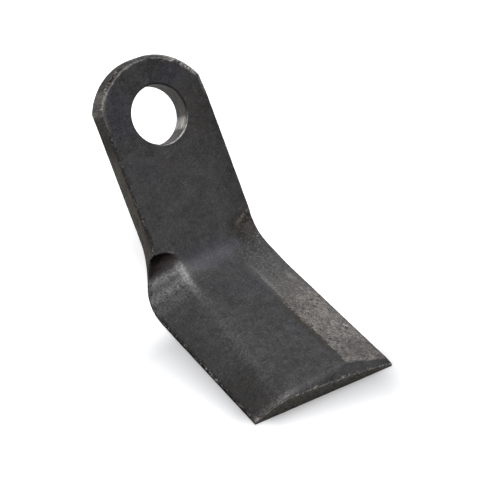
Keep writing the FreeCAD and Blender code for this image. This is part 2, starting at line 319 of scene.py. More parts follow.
def gridInside(net):
    grid = staggered(*plate["gridBox"], net["pitch"])
    for box in net["scoopBoxes"]:
        x, q = grid.T
        inBox = (x > box[0]) & (x < box[1]) & (q > box[2]) & (q < box[3])
        grid = np.concatenate([grid[~inBox], staggered(*box, net["scoopPitch"])])
    return grid[(edgeGap(*grid.T) > net["clear"]) & (boreGap(*grid.T) > net["clear"])]


def triangulate(outline, hole, inner):
    points = np.concatenate([outline, hole, inner])
    n, m = len(outline), len(hole)
    edges = [(i, (i + 1) % n) for i in range(n)] + [(n + i, n + (i + 1) % m) for i in range(m)]
    result = delaunay_2d_cdt([Vector(p) for p in points.tolist()], edges, [], 0, 1e-6, True)
    places = np.array([(v.x, v.y) for v in result[0]])
    if len(places) != len(points):
        raise ValueError("the plate's points changed: %d %d" % (len(places), len(points)))
    faces = np.array(result[2])
    x, q = places[faces].mean(axis=1).T
    faces = faces[(edgeGap(x, q) > 0) & (boreGap(x, q) > -0.01)]
    faces = np.array([ids[0] for ids in result[3]])[faces]
    (ax, aq), (bx, bq), (cx, cq) = [points[corner].T for corner in faces.T]
    turned = (bx - ax) * (cq - aq) - (bq - aq) * (cx - ax) < 0
    faces[turned] = faces[turned][:, ::-1]
    return points, faces


def layNet(outline, hole, net):
    rows = followingRows(outline, net["rows"], net["rowsClear"])
    rings = [ringPoints(gap) for gap in net["rings"]]
    return triangulate(outline, hole, np.concatenate([rows, *rings, gridInside(net)]))


def storeValues(mesh, name, values):
    attribute = mesh.attributes.new(name, "FLOAT", "POINT")
    attribute.data.foreach_set("value", values.astype(np.float32))


def makePlate():
    outline, hole = drawOutline(), ringPoints(0.0)
    front, frontFaces = layNet(outline, hole, frontNet)
    back, backFaces = layNet(outline, hole, backNet)
    loops = np.concatenate([outline, hole])
    firstBack, firstRow = len(front), len(front) + len(back)

    # the walls: rows of both loops, from the front down to the back
    t, rowCount = plate["thickness"], plate["wallRows"]
    points = [np.column_stack([front, np.full(len(front), t)]),
              np.column_stack([back, np.zeros(len(back))])]
    starts = [0]
    for row in range(1, rowCount):
        points.append(np.column_stack([loops, np.full(len(loops), t * (1 - row / rowCount))]))
        starts.append(firstRow + (row - 1) * len(loops))
    starts.append(firstBack)
    rim = np.arange(len(outline))
    ring = len(outline) + np.arange(len(hole))
    quads = []
    for upper, lower in zip(starts[:-1], starts[1:]):
        for a, b in ((rim, np.roll(rim, -1)), (np.roll(ring, -1), ring)):
            quads.append(np.stack([upper + a, lower + a, lower + b, upper + b], 1))

    points = np.concatenate(points)
    triangles = np.concatenate([frontFaces, backFaces[:, ::-1] + firstBack])
    polygons = triangles.tolist() + np.concatenate(quads).tolist()
    mesh = bpy.data.meshes.new("mulcherBlade")
    mesh.from_pydata(points.tolist(), [], polygons)
    onWall = np.zeros(len(points))
    onWall[:len(loops)] = 1
    onWall[firstBack:firstBack + len(loops)] = 1
    onWall[firstRow:] = 1
    x, q = points[:, 0], points[:, 1]
    storeValues(mesh, "wall", onWall)
    storeValues(mesh, "edgeGap", np.clip(edgeGap(x, q), 0, plate["widestGap"]))
    storeValues(mesh, "boreGap", np.clip(boreGap(x, q), 0, plate["widestGap"]))
    mesh.validate()
    print("plate", len(points), "points,", len(polygons), "faces")
    return mesh


# a scoop's floor rises on an arc and goes on as a steep wall
def scoopLift(q, start, radius, wall):
    past = (q - start).within(0.0, radius)
    lift = radius - (radius * radius - past * past).most(0.0).root()
    return lift + (q - start - radius).most(0.0) * wall


def leftBevel(size, x, q, top):
    line = size["Left bevel line"] - size["Left bevel drift"] * (-q).most(0.0)
    # it falls to the same thickness all along the outline, which curves out at the shoulder
    shoulder = size["Left shoulder top"] - size["Left shoulder foot"]
    share = ((size["Left shoulder top"] - q) / shoulder).within(0.0, 1.0)
    near, far = share.least(0.5), share.most(0.5) - 0.5
    edge = size["Left edge x"] + size["Left step"] * (1.0 - (near * near + far - far * far) * 2.0)
    lift = scoopLift(q, size["Left scoop start"], size["Left scoop radius"], size["Scoop wall"])
    return top - (line - x) * (top - size["Left edge thickness"]) / (line - edge) + lift


# the right bevel rises over the bend before its short scoop
def rightBevel(size, x, q):
    ramp = ((q - size["Right ramp start"]) / size["Right ramp length"]).within(0.0, 1.0)
    lift = scoopLift(q, size["Right scoop start"], size["Right scoop radius"], size["Scoop wall"])
    return (size["Right edge thickness"] + (size["Right edge x"] - x) * size["Right bevel fall"]
            + ramp * ramp * size["Right ramp height"] + lift)


def endRoll(size, x, q):
    fromEnd = (q + size["Leg length"] + x * endSlope).most(0.0)
    farRight = (x - size["End roll bow start"]).within(0.0, size["End roll bow length"])
    return (size["End roll height"] - size["End roll fall"] * (x - size["End roll corner x"])
            - farRight * farRight * size["End roll bow"]
            + fromEnd * (size["End roll rise"] - farRight * size["End roll bow rise"]))


# the height of the front over the back
def frontSide(size, x, q, gap, fromBore, headShare):
    # the leg thins a little towards its end
    start = size["Thinning start"]
    thinned = (-q - start).most(0.0) / (size["Leg length"] - start)
    top = size["Thickness"] - (size["Thickness"] - size["Leg end thickness"]) * thinned
    # creases are crisp along the right bevel's lower part, and soft over the bend and at the end
    crisp, soft = size["Crease width"], size["Soft crease width"]
    leftCrisp, leftSoft = size["Left crease width"], size["Left soft crease width"]
    leftCrease = leftCrisp + (leftSoft - leftCrisp) * q.fall(-22.0, -6.0)
    rightCrease = crisp + (soft - crisp) * q.rise(-24.0, -4.0)
    rollCrease = soft + (size["End roll crease width"] - soft) * x.rise(10.0, 20.0)
    front = top.blendLeast(leftBevel(size, x, q, top), leftCrease)
    front = front.blendLeast(rightBevel(size, x, q), rightCrease)
    front = front.blendLeast(endRoll(size, x, q), rollCrease)
    # rounded edges, wider round the head, and the bore's chamfer
    width = size["Edge round"] + (size["Head roll"] - size["Edge round"]) * headShare
    edge = (1.0 - gap / width).within(0.0, 1.0)
    front = front - width.least(front * 0.45) * edge * edge * 0.9
    return front - (size["Bore chamfer"] - fromBore).most(0.0)


def backSide(size, gap, fromBore):
    rounded = (size["Edge round"] * 0.8 - gap).most(0.0)
    return rounded * rounded * 1.2 + (size["Back bore chamfer"] - fromBore).most(0.0)


# a bend's curve is the mean of three arcs between the same two straights, so it sets in gently
def bendCurve(size, halfTangent, along, radius):
    y, z = 0.0, 0.0
    for factor in (1.0 - size["Easing"], 1.0, 1.0 + size["Easing"] * 1.3):
        bow = radius * factor
        arcReach = bow * halfTangent
        held = along.within(-arcReach, arcReach)
        angle = size["Bend angle"] * (held + arcReach) / (arcReach * 2.0)
        sine, cosine = angle.sine(), angle.cosine()
        y = y + (bow * sine + cosine * (along - held) - arcReach) / 3.0
        z = z + (bow - bow * cosine + sine * (along - held)) / 3.0
    return y, z


# every point lies between the back's curve and the front's, by its height in the plate
def bendPlate(size, q, height):
    t, reach = size["Thickness"], size["Bend reach"]
    halfTangent = (size["Bend angle"] / 2).tangent()
    # the back's tangents meet further out than the front's by the plate's thickness
    offset = t * halfTangent
    held = q.within(-reach, reach)
    stretched = q - held + held * (1.0 + offset / reach)
    frontY, frontZ = bendCurve(size, halfTangent, q, size["Inside radius"])
    backY, backZ = bendCurve(size, halfTangent, stretched, size["Outside radius"])
    backY, frontZ = backY + offset, frontZ + t
    share = height / t
    return backY + (frontY - backY) * share, backZ + (frontZ - backZ) * share


def forgingTree(finish):
    tree = bpy.data.node_groups.new("bladeForging", "GeometryNodeTree")
    for way in ("INPUT", "OUTPUT"):
        tree.interface.new_socket("Geometry", in_out=way, socket_type="NodeSocketGeometry")
    for name in forging:
        tree.interface.new_socket(name, in_out="INPUT", socket_type="NodeSocketFloat")
    bench = Bench(tree)
    size = bench.outputs("NodeGroupInput")
    place = bench.add("GeometryNodeInputPosition")
    x, q, z = bench.split(place)
    gap, fromBore = [bench.add("GeometryNodeInputNamedAttribute", {"data_type": "FLOAT"}, {"Name": name})
                     for name in ("edgeGap", "boreGap")]

    headShare = (q + x * headLean).rise(55.0, 68.0)
    front = frontSide(size, x, q, gap, fromBore, headShare)
    level = z / size["Thickness"]
    height = front * level + backSide(size, gap, fromBore) * (1.0 - level)
    y, z = bendPlate(size, q, height)

    # the plate's own place and the front's height go with the points, for the material
    shaped = size["Geometry"]
    for name, kind, value in (("blank", "FLOAT_VECTOR", place), ("frontHeight", "FLOAT", front)):
        shaped = bench.add("GeometryNodeStoreNamedAttribute", {"data_type": kind, "domain": "POINT"},
                           {"Geometry": shaped, "Name": name, "Value": value})
    shaped = bench.add("GeometryNodeSetPosition", {}, {"Geometry": shaped, "Position": bench.join(x, y, z)})

    # unevenness and rough rims, out along the surface
    where = bench.add("GeometryNodeInputPosition")
    swell = (bench.noise(where, 0.11, 1.5) - 0.5) * size["Unevenness"]
    rough = (bench.noise(where, 0.62, 3.0, 0.6) - 0.5) * size["Edge roughness"]
    rough = rough * (gap.fall(0.0, 1.8) * 0.97 + 0.03) * (1.0 - headShare * 0.5)
    moved = bench.scaled(bench.add("GeometryNodeInputNormal"), swell + rough)
    shaped = bench.add("GeometryNodeSetPosition", {}, {"Geometry": shaped, "Offset": moved})

    # millimetres to metres, with the origin in the middle of the leg's underside
    x, y, z = bench.split(bench.add("GeometryNodeInputPosition"))
    final = bench.join(x * mm, (y + size["Leg length"] / 2) * mm, z.most(0.0) * mm)
    shaped = bench.add("GeometryNodeSetPosition", {}, {"Geometry": shaped, "Position": final})
    solid = bench.add("GeometryNodeRealizeInstances", {}, {"Geometry": shaped})
    solid = bench.add("GeometryNodeSetMaterial", {}, {"Geometry": solid, "Material": finish})
    bench.add("NodeGroupOutput", {}, {"Geometry": solid})
    print("forging tree", len(tree.nodes), "nodes")
    return tree


# The finish: dark forge scale, worn to bright metal on the edges and the right bevel, with painted highlights
# over the bend, along some rims and in the bore, and painted shade in the scoops, the end roll's crease and above
# the bore.
# Masks are drawn in the plate's own x and q, in millimetres, which go with the points.

steel = {
    "darkScale": (0.0262, 0.0259, 0.0261, 1),
    "lightScale": (0.088, 0.087, 0.086, 1),
    "darkBlueScale": (0.0285, 0.027, 0.0355, 1),
    "lightBlueScale": (0.086, 0.083, 0.098, 1),
    "rust": (0.05, 0.036, 0.026, 1),
    "brownSpeck": (0.13, 0.105, 0.08, 1),
    "olive": (0.034, 0.029, 0.02, 1),
    "tan": (0.2, 0.165, 0.115, 1),
    # near-black: dark pits, spots and seams, and also painted shade in the scoops and on the bore's chamfer
    "sootAndShade": (0.01, 0.0078, 0.007, 1),
    "hollowGrey": (0.055, 0.051, 0.044, 1),
    # a brown tone of the painted shade in the left scoop
    "paintedShadeBrown": (0.04, 0.031, 0.026, 1),
    # pale metal, for wear and also for painted highlights along rims and painted light in the bore
    "bareAndHighlight": (0.37, 0.345, 0.315, 1),
    "bareStrip": (0.37, 0.336, 0.297, 1),
    # pale metal: real wear on the right bevel, and painted highlights over the bend and along the left bevel's
    # ridge
    "burnishAndHighlight": (0.355, 0.349, 0.338, 1),
    "shine": (0.75, 0.72, 0.68, 1),
    "darkSide": (0.016, 0.014, 0.012, 1),
    "lightSide": (0.05, 0.044, 0.037, 1),
    "paleSide": (0.13, 0.118, 0.1, 1),
    "darkEnd": (0.03, 0.027, 0.022, 1),
    "lightEnd": (0.13, 0.121, 0.103, 1),
    "darkBore": (0.04, 0.037, 0.033, 1),
    "lightBore": (0.215, 0.207, 0.191, 1),
    "headRoll": (0.16, 0.15, 0.134, 1),
    "metallic": 0.6,
    "roughness": 0.42,
    "ior": 1.5,
    "bumpDepth": 0.00022,
}

# the scale's noises, from broad to fine: shift, scale, detail and roughness
grains = {
    "broad": ((0.0, 0.0, 0.0), 60.0, 3.0, 0.55),
    "cloud": ((0.0, 0.0, 0.0), 170.0, 3.0, 0.6),
    "mottle": ((0.0, 0.0, 0.0), 430.0, 3.0, 0.6),
    "specks": ((0.02, 0.09, 0.03), 800.0, 1.0, 0.4),
    "grain": ((0.0, 0.0, 0.0), 1300.0, 2.0, 0.6),
    "fine": ((0.07, 0.02, 0.05), 2900.0, 1.0, 0.5),
}

# soft oval patches of the finish: middle x and q, half width and half length
places = {
    "crown": (1.0, 70.0, 20.0, 13.0),
    "headLeft": (-15.0, 57.0, 7.0, 12.0),
    "headRight": (9.0, 63.0, 8.0, 5.0),
    "paleHeadLeft": (-19.5, 63.5, 6.0, 6.5),
    "brownHead": (14.0, 66.0, 7.0, 6.0),
    "scrapedHead": (15.0, 66.0, 7.5, 8.0),
    "boreGlint": (8.8, 45.9, 3.1, 2.8),
    "besideBore": (13.0, 50.0, 8.0, 13.0),
    "sideSpot": (-20.0, 56.0, 3.4, 3.0),
    "midShank": (-6.0, 30.0, 12.0, 9.0),
    "rightShoulder": (17.0, 10.0, 9.0, 6.0),
    "rightScoop": (18.5, 7.4, 5.5, 2.2),
    "rightScoopStain": (15.5, 5.5, 8.0, 5.5),
    "rightScoopSpecks": (17.0, 4.8, 7.0, 5.0),
    "bendMiddle": (-1.0, 0.5, 14.0, 6.5),
    "bendRightEdge": (20.0, 0.0, 2.6, 4.5),
    "upperEdgePatch": (19.6, -20.0, 1.6, 4.5),
    "lowerEdgePatch": (20.2, -27.0, 2.3, 4.0),
    "wideChip": (17.4, -46.0, 2.4, 1.8),
    "smallChip": (20.7, -48.0, 1.0, 1.3),
    "legLeftEdge": (-25.0, -56.0, 9.0, 14.0),
    "legLeftEnd": (-23.0, -57.0, 12.0, 14.0),
    "leftCorner": (-27.5, -63.9, 1.1, 0.9),
    "rightCorner": (23.0, -67.0, 5.0, 3.4),
}

# where the other marks lie
marks = {
    # the first entry holds painted highlights in bands across the bend on the left bevel
    "paintedBendHighlight": ((1.0, 1.9, 1.0), (-4.0, 2.6, 1.0), (-1.3, 2.4, 0.3), (-8.0, 5.0, 0.35)),    # q, half width, share
    "crest": (-1.1, 1.9),          # beside the left bevel's line
    "stripBorder": 7.7,            # x of the soil strip's inner border
    "stripEnd": 3.7,               # from the end, at the x below
    "stripEndX": 9.0,
    "seam": (-19.5, 0.5),          # x beside the shank's left edge
    "lip": (10.0, 1.0),            # q of the right scoop's lip, at the shank's edge
    "rimFrom": 0.45,               # the head's bright rim, from the edge
    "rimWidening": 0.95,
}


# a soft band round a place: 1 in its middle, 0 beyond its half width
def band(value, middle, half):
    return 1.0 - abs(value - middle).rise(half * 0.15, half)


# What the parts of the finish share: coordinates, noises, masks and the colour so far
class Skin:
    def __init__(self, bench):
        self.bench = bench
        self.x, self.q, self.z = bench.split(self.stored("blank", "Vector"))
        self.gap, self.wall, self.height, self.bore = [
            self.stored(name, "Fac") for name in ("edgeGap", "wall", "frontHeight", "boreGap")]
        self.face = 1.0 - self.wall
        self.fromEnd = self.q + plate["legLength"] + self.x * endSlope
        self.head = self.q.rise(50.0, 55.0)
        self.drop = plate["thickness"] - self.height
        place = bench.add("ShaderNodeTexCoord", out="Object")
        self.broad, self.cloud, self.mottle, self.specks, self.grain, self.fine = [
            bench.noise(bench.vector("ADD", place, shift), *noise) for shift, *noise in grains.values()]

    def stored(self, name, out):
        return self.bench.add("ShaderNodeAttribute", {"attribute_name": name}, out=out)

    # noise that is drawn out along an edge or across a cut
    def drawn(self, x, y, z, scale, detail, roughness):
        return self.bench.noise(self.bench.join(x, y, z), scale, detail, roughness)

    def patch(self, name):
        atX, atQ, halfX, halfQ = places[name]
        u, v = (self.x - atX) / halfX, (self.q - atQ) / halfQ
        return 1.0 - (u * u + v * v).rise(0.2, 1.0)

    def tones(self, light, dark, pale):
        return self.bench.mixColour(light, steel[dark], steel[pale])

    # lays a colour over what is there, where the mask says
    def coat(self, mask, colour, amount=1.0):
        over = steel[colour] if isinstance(colour, str) else colour
        self.colour = self.bench.mixColour(mask * amount, self.colour, over)


# dark forge scale, bluish and brownish in places
def layScale(skin):
    x, q, fromEnd = skin.x, skin.q, skin.fromEnd
    broad, cloud, mottle = skin.broad, skin.cloud, skin.mottle
    light = (cloud.rise(0.38, 0.66) * 0.22 + mottle.rise(0.38, 0.64) * 0.17
             + skin.grain.rise(0.38, 0.64) * 0.3 + skin.fine.rise(0.35, 0.65) * 0.28)
    # paler low on the shank, and a painted highlight in a band across the bend
    light = light + q.rise(-2.0, 8.0) * (0.17 - q.rise(16.0, 48.0) * 0.14) + band(q, -1.0, 7.5) * 0.16
    # darker at the crown, the right edge, the head's left side and down the leg
    light = light - skin.patch("crown") * 0.26 - x.rise(8.0, 18.0) * q.rise(6.0, 18.0) * 0.28
    light = light - skin.patch("headLeft") * 0.1 + (broad - 0.5) * q.rise(5.0, 15.0) * 0.3
    light = light - q.fall(-20.0, -6.0) * 0.09 - skin.patch("legLeftEnd") * 0.28
    # paler on the end's roll, and painted shade in its crease
    light = light + fromEnd.fall(2.0, 6.0) * x.rise(-6.0, 4.0) * x.fall(15.0, 22.0) * 0.16
    crease = band(fromEnd - x * 0.11, 2.2, 2.6)
    light = light - crease * x.rise(-6.0, 2.0) * x.fall(12.0, 16.0) * 0.16
    light = light.within(0.0, 1.0)
    skin.colour = skin.tones(light, "darkScale", "lightScale")
    bluish = (skin.patch("headLeft") + skin.patch("headRight") + skin.patch("bendMiddle")
              + broad.rise(0.52, 0.7) * 0.5).least(1.0)
    skin.coat(bluish, skin.tones(light, "darkBlueScale", "lightBlueScale"), 0.55)
    brown = (cloud.rise(0.55, 0.75) * 0.4
             + skin.patch("rightShoulder") * cloud.rise(0.35, 0.6) * 0.8
             + skin.patch("besideBore") * cloud.rise(0.4, 0.6) * 0.6
             + skin.patch("midShank") * cloud.rise(0.4, 0.6) * 0.3
             + skin.patch("legLeftEdge") * mottle.rise(0.4, 0.6) * 0.7).least(1.0)
    skin.coat(brown, "rust", 0.5)


# the left bevel: dark along its edge, lighter towards its ridge with wear and a painted highlight, and painted
# highlights across the bend
def layLeftBevel(skin):
    x, q, face, grain = skin.x, skin.q, skin.face, skin.grain
    line = forging["Left bevel line"] + q.least(0.0) * forging["Left bevel drift"]
    skin.coat(x.fall(-26.0, -19.0) * q.fall(-14.0, -7.0) * face, "darkScale", 0.4)
    skin.onLeft = (line + 1.0 - x).rise(0.0, 2.0) * face
    streaks = skin.drawn(x * 0.5 + q * 0.02, q * 0.06 - x * 0.01, skin.z * 0.2, 3.2, 3.0, 0.65)
    # painted highlights: bands of pale metal across the bend
    paintedBendHighlight = sum(band(q, middle, half) * share for middle, half, share in marks["paintedBendHighlight"])
    paintedBendHighlight = paintedBendHighlight.least(1.0) * skin.onLeft
    skin.coat(paintedBendHighlight * (streaks.rise(0.35, 0.6) * 0.45 + grain.rise(0.4, 0.6) * 0.55), "burnishAndHighlight", 0.55)
    # the ridge: wear with a painted highlight along the bevel's line
    crest = band(x - line, *marks["crest"]) * (q.rise(-16.0, -3.0) * 0.84 + 0.06) * q.fall(2.0, 4.5)
    skin.coat(crest * face * (0.45 + grain.rise(0.4, 0.62) * 0.55), "burnishAndHighlight", 0.62)


# the right bevel: its lower part is ground rough by the soil, and its upper part is rubbed
def layRightBevel(skin):
    x, q, face, fromEnd = skin.x, skin.q, skin.face, skin.fromEnd
    cloud, mottle, specks, grain, fine = skin.cloud, skin.mottle, skin.specks, skin.grain, skin.fine
    border = x - marks["stripBorder"] + (cloud - 0.5) * 2.0 + (mottle - 0.5) * 2.0
    endBorder = fromEnd - marks["stripEnd"] + (x - marks["stripEndX"]) * 0.12 + (mottle - 0.5) * 1.6
    strip = border.blendLeast(endBorder, 2.2).rise(-0.4, 0.45) * q.fall(-32.0, -6.0) * face
    speckle = grain.rise(0.36, 0.6) * 0.55 + fine.rise(0.36, 0.6) * 0.45
    worn = strip * (speckle * (0.36 + cloud.rise(0.4, 0.58) * 0.34)
                    + mottle.rise(0.42, 0.6) * 0.12 + specks.rise(0.62, 0.7) * 0.35)
    worn = worn * (0.78 + skin.broad.rise(0.4, 0.62) * 0.4)
    skin.coat(strip * (1.0 - speckle), "darkScale", 0.65)
    skin.coat(worn.least(1.0), "bareStrip", 0.8)
    skin.coat(strip * specks.fall(0.28, 0.36), "sootAndShade", 0.8)
    upper = (border - q.rise(-16.0, 4.0) * 2.5).rise(-0.8, 1.0)
    upper = upper * q.rise(-34.0, -16.0) * q.fall(4.0, 9.0) * face
    skin.coat(upper * (cloud.rise(0.45, 0.62) * 0.5 + grain.rise(0.48, 0.6) * 0.5), "darkScale")
    skin.coat(upper * grain.fall(0.36, 0.46), "burnishAndHighlight", 0.27 - q.rise(-8.0, 2.0) * 0.18)
    # light specks along its border, and pale patches by its edge
    borderSpecks = band(border, 1.0, 1.3) * band(q, -21.0, 15.0) * grain.rise(0.48, 0.58) * face
    skin.coat(borderSpecks, "burnishAndHighlight", 0.38)
    patches = (skin.patch("lowerEdgePatch") + skin.patch("upperEdgePatch") * 0.7).least(1.0)
    patches = patches * mottle.rise(0.42, 0.56) * (0.5 + fine.rise(0.4, 0.6) * 0.5) * face
    skin.coat(patches, "burnishAndHighlight", 0.5)
    # soil left along the border, and two bright chips
    skin.coat(band(border, -1.3, 1.6) * band(q, -44.0, 24.0) * face, "olive", 0.7)
    skin.coat(band(border, -0.5, 0.9) * band(q, -38.0, 14.0) * grain.rise(0.5, 0.6) * face, "tan", 0.8)
    chips = (skin.patch("smallChip") * grain.rise(0.36, 0.56) * 0.42
             + skin.patch("wideChip") * grain.rise(0.42, 0.58) * 0.2)
    skin.coat(chips * face, "shine")
    skin.strip, skin.speckle, skin.upper = strip, speckle, upper


# painted shade in the two scoops, in dark scale tones, with stains and specks in the right one, and the corner
# beyond the strip darker
def layScoops(skin):
    x, q, face, grain = skin.x, skin.q, skin.face, skin.grain
    width = ((x + 27.0) * 0.2 + 1.0).within(1.0, 3.4)
    # painted shade in the left scoop, greyer low on its right
    hollow = ((q - 2.3) / width).rise(0.0, 1.0) * skin.drop.rise(0.08, 0.5) * x.fall(-9.0, -5.0) * face
    brown = skin.tones(skin.cloud.rise(0.35, 0.55) * band(q, 5.2, 3.0), "sootAndShade", "paintedShadeBrown")
    grey = x.rise(-21.0, -14.0) * q.fall(4.0, 6.5) * 0.8
    skin.coat(hollow, skin.bench.mixColour(grey, brown, steel["hollowGrey"]), 0.95)
    # painted shade in the right scoop
    skin.coat(skin.patch("rightScoop") * face, "sootAndShade", 0.85)
    skin.coat(skin.patch("rightScoopStain") * face * skin.mottle.rise(0.34, 0.58), "darkSide", 0.8)
    skin.coat(skin.patch("rightScoopSpecks") * face * grain.rise(0.45, 0.65), "brownSpeck", 0.6)
    skin.coat(skin.patch("rightCorner") * face, "darkScale", 0.6)
    skin.hollow = hollow


# the sheared sides, the rolled head and the cut end
def laySides(skin):
    x, q, z, wall, fromEnd, head = skin.x, skin.q, skin.z, skin.wall, skin.fromEnd, skin.head
    mottle, grain = skin.mottle, skin.grain
    side = wall * fromEnd.rise(0.3, 0.8) * skin.bore.rise(0.5, 1.5)
    along = skin.drawn(0.0, q * 0.05, z * 0.42, 2.4, 3.0, 0.6)
    sideLight = along.rise(0.3, 0.7) * 0.6 + grain.rise(0.38, 0.62) * 0.4
    skin.coat(side, skin.tones(sideLight, "darkSide", "lightSide"))
    rubbed = side * q.rise(0.0, 6.0) * q.fall(40.0, 50.0)
    rubbed = rubbed * (0.18 + mottle.rise(0.4, 0.6) * 0.42
                       + grain.rise(0.36, 0.64) * 0.2 + along.rise(0.35, 0.6) * 0.2)
    skin.coat(rubbed, "paleSide", 0.88)
    spots = side * grain.fall(0.32, 0.42) * 0.6 + skin.patch("sideSpot") * wall * 0.9
    skin.coat(spots.least(1.0), "sootAndShade")
    sheared = skin.drawn(q * 1.1, x * 1.1, z * 0.12, 1.5, 2.0, 0.6)
    rolled = head * skin.gap.fall(1.0, 1.7) * skin.bore.rise(1.0, 2.0)
    # the rolled head is lighter high on its left
    paleHeadShare = skin.patch("paleHeadLeft") * 0.85
    light = sheared.rise(0.4, 0.66) * (0.22 + paleHeadShare) + sideLight * 0.22 + paleHeadShare * 0.35
    skin.coat(rolled * light.least(1.0), "headRoll")
    skin.coat(rolled * skin.patch("brownHead") * mottle.rise(0.4, 0.6), "rust", 0.6)
    endFace = fromEnd.fall(0.2, 0.6) * wall
    cut = skin.drawn(x * 0.3, 0.0, z * 0.8, 1.5, 3.0, 0.7)
    light = cut.rise(0.34, 0.68) * 0.65 + grain.rise(0.38, 0.62) * 0.4
    skin.coat(endFace, skin.tones(light, "darkEnd", "lightEnd"), 0.95)
    skin.side, skin.along, skin.endFace = side, along, endFace


# dark pits along the front edges
def layPits(skin):
    x, q, gap, fromEnd, head = skin.x, skin.q, skin.gap, skin.fromEnd, skin.head
    mottle = skin.mottle
    front = skin.z.rise(6.5, 7.8)
    pits = band(gap, 0.7, 0.8) * (1.0 - head) * mottle.rise(0.54, 0.62) * front * fromEnd.rise(2.0, 4.0)
    skin.coat(pits, "sootAndShade", 0.7)
    skin.coat(band(x, *marks["seam"]) * band(q, 15.0, 9.0) * front * skin.face, "sootAndShade", 0.6)
    legEdge = gap.fall(0.3, 1.3) * x.fall(-24.0, -20.0) * q.fall(-14.0, -8.0) * fromEnd.rise(1.5, 4.0)
    skin.coat(legEdge * (0.45 + mottle.rise(0.42, 0.56) * 0.5), "sootAndShade")
    skin.coat(legEdge * skin.grain.rise(0.55, 0.68), "brownSpeck", 0.6)
    skin.nearEdge = gap.fall(0.15, 0.75)
    skin.shankEdge = skin.nearEdge * q.rise(6.0, 12.0) * (1.0 - head) * skin.z.rise(5.5, 7.8)
    skin.coat(skin.shankEdge, "sootAndShade", 0.6)


# bright rubbed rims, scrapes and scratches, with painted highlights along the head's rim, the end's top edge, the
# bore's chamfer and the left scoop's rim
def layBright(skin):
    x, q, z, gap, fromEnd = skin.x, skin.q, skin.z, skin.gap, skin.fromEnd
    face, head, bore, hollow = skin.face, skin.head, skin.bore, skin.hollow
    cloud, mottle, grain, fine = skin.cloud, skin.mottle, skin.grain, skin.fine
    front = z.rise(6.5, 7.8)
    lean = q + x * headLean
    rubbed = skin.nearEdge * grain.rise(0.52, 0.62) * (0.2 + cloud.rise(0.5, 0.6) * 0.8)
    rubbed = rubbed * front * (1.0 - skin.shankEdge * 0.6)
    # a painted highlight along the head's rolled rim, strongest high up
    rimAt = marks["rimFrom"] + lean.rise(55.0, 68.0) * marks["rimWidening"]
    headRim = head * band(gap - rimAt, 0.0, 0.3) * bore.rise(1.0, 2.0) * front
    headRim = headRim * (grain.rise(0.44, 0.58) * 0.6 + mottle.rise(0.45, 0.6) * 0.4)
    headRim = headRim * (0.3 + lean.rise(54.0, 62.0) * 0.7)
    # a painted highlight along the top edge of the end face
    endRim = fromEnd.fall(0.05, 0.3) * z.rise(7.7, 7.97) * (0.2 + grain.rise(0.42, 0.6) * 0.4)
    endWedge = fromEnd.fall(1.0, 3.6) * x.fall(-17.0, -10.0) * face * skin.speckle
    scrapes = head * skin.patch("scrapedHead") * band(gap, 1.3, 1.0) * z.rise(5.0, 7.2)
    scrapes = scrapes * (grain.rise(0.4, 0.52) * 0.8 + 0.2) * mottle.rise(0.36, 0.5)
    # a painted highlight on the lower right of the bore's chamfer
    boreRim = band(bore, 0.28, 0.48) * (q - x * 0.55).fall(41.0, 47.0)
    boreRim = boreRim * (0.6 + grain.rise(0.4, 0.6) * 0.4)
    lip = band(q + (plate["shankHalf"] - x) * 0.45, *marks["lip"]) * band(x, 16.5, 5.0)
    lip = lip * face * grain.rise(0.4, 0.6)
    scratched = skin.drawn(x * 0.3 + q * 0.06, q * 2.4 - x * 0.5, 0.0, 1.0, 1.0, 0.4)
    scratches = scratched.rise(0.69, 0.73) * mottle.rise(0.5, 0.58) * (1.0 - hollow) * face
    # a painted highlight along the left scoop's rim
    hollowRim = band(skin.drop, 0.1, 0.12) * q.rise(5.0, 6.5) * q.fall(9.5, 11.0) * x.fall(-11.0, -8.0)
    hollowRim = hollowRim * grain.rise(0.45, 0.6) * face
    bendEdge = skin.patch("bendRightEdge") * grain.rise(0.55, 0.66) * face
    glints = fine.rise(0.64, 0.74) * (0.14 + skin.strip * 0.5) * (1.0 - hollow) * face
    bright = rubbed
    for mask, amount in ((headRim, 0.85), (endRim, 0.65), (endWedge, 0.26), (scrapes, 1.0), (boreRim, 1.0),
                         (lip, 0.42), (scratches, 0.3), (hollowRim, 0.5), (bendEdge, 0.7), (glints, 1.0)):
        bright = bright.most(mask * amount)
    skin.coat(bright, "bareAndHighlight", 0.85)
    skin.coat(scrapes * grain.rise(0.46, 0.56), "shine", 0.5)
    skin.coat(skin.patch("leftCorner") * face * (0.2 + grain.rise(0.4, 0.6) * 0.4), "bareAndHighlight")
    skin.bright = bright


# the bore's drill marks run round it; painted light makes its wall lighter at the top and top left, with a
# painted glint low on the right and painted shade on the chamfer above
def layBore(skin):
    x, q, bore = skin.x, skin.q, skin.bore
    bored = bore.fall(0.0, 0.3) * skin.wall
    turned = skin.drawn(x * 0.12, q * 0.12, skin.z * 2.2, 1.6, 2.0, 0.6)
    # painted light: the wall is lighter at its top
    light = turned.rise(0.36, 0.64) * (0.2 + q.rise(42.0, 46.5) * 0.3) + 0.06 + q.rise(51.0, 58.0) * 0.34
    skin.coat(bored, skin.tones(light, "darkBore", "lightBore"))
    # painted light, paler high on the wall's left
    skin.coat(bored * x.fall(-2.0, 4.5) * q.rise(58.0, 61.0), "bareAndHighlight", 0.7)
    skin.coat(bored * skin.patch("boreGlint") * turned.rise(0.4, 0.6), "shine", 0.75)
    # painted shade on the upper part of the bore's chamfer
    skin.coat(band(bore, 0.35, 0.5) * q.rise(46.0, 52.0) * (1.0 - bored), "sootAndShade", 0.85)
    skin.bored = bored


